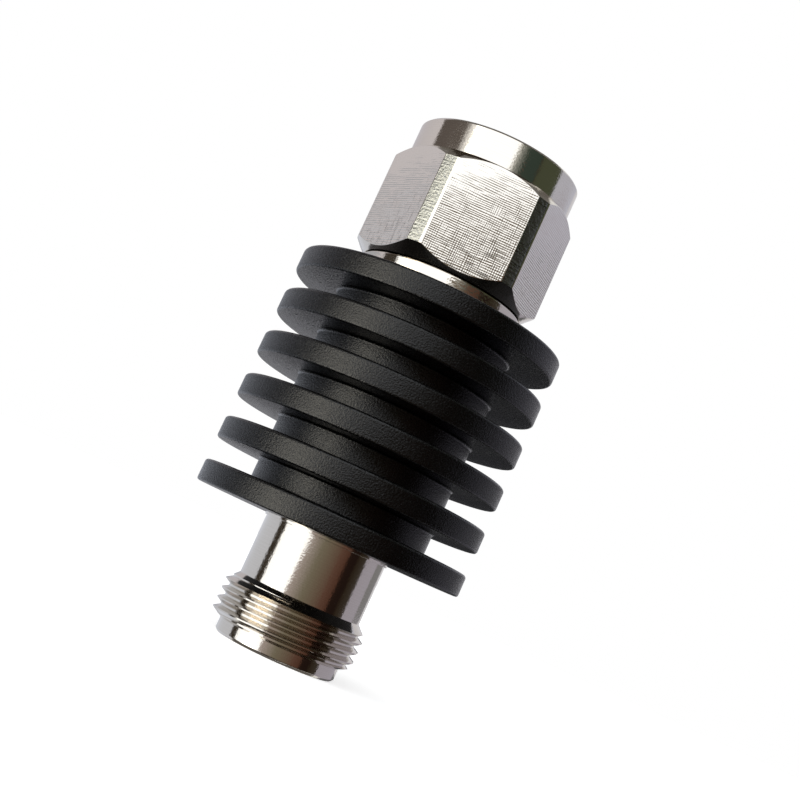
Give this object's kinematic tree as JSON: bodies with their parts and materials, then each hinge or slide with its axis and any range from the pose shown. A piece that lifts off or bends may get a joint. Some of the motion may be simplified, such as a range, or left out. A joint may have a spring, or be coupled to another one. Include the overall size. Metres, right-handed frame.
{
  "type": "rf attenuator",
  "caption": "Fixed coaxial attenuator: socket with outer thread, finned round heat sink, and plug with hexagonal coupling nut.",
  "frame": {"origin": "centre of the socket's front face, which the part stands on", "axes": "+Z along the line's axis from the socket to the plug; -Y towards the picture's camera"},
  "size_m": [0.03, 0.03, 0.0584],
  "materials": {
    "anodised": "matte black anodised",
    "nickel": "polished nickel plate",
    "nut_nickel": "nickel plate over milled flats",
    "gold": "gold plate",
    "bronze": "white bronze plate",
    "ptfe": "white fluoropolymer",
    "silicone": "red silicone",
    "nitrile": "black nitrile",
    "alumina": "white ceramic",
    "silver": "silver plate",
    "spring_steel": "bright spring steel"
  },
  "bodies": {
    "body": {"heat_sink": "anodised", "jack_body": "nickel", "plug_body": "nickel", "jack_contact": "gold", "jack_tail": "gold", "plug_pin": "gold", "plug_tail": "gold", "jack_insulator": "ptfe", "plug_insulator": "ptfe", "jack_clamp_ring": "nickel", "plug_outer_contact": "bronze", "plug_gasket": "silicone", "jack_seal": "nitrile", "plug_seal": "nitrile", "nut_snap_ring": "spring_steel", "ground_disc_spring": "spring_steel", "attenuator_chip": "alumina", "chip_carrier_back": "silver", "chip_carrier_front": "silver"},
    "nut": {"coupling_nut": "nut_nickel"}
  },
  "joints": [
    {"name": "nut_spin", "type": "hinge", "parent": "body", "child": "nut", "pos_m": [0, 0, 0.0505], "axis": [0, 0, 1], "continuous": true}
  ]
}
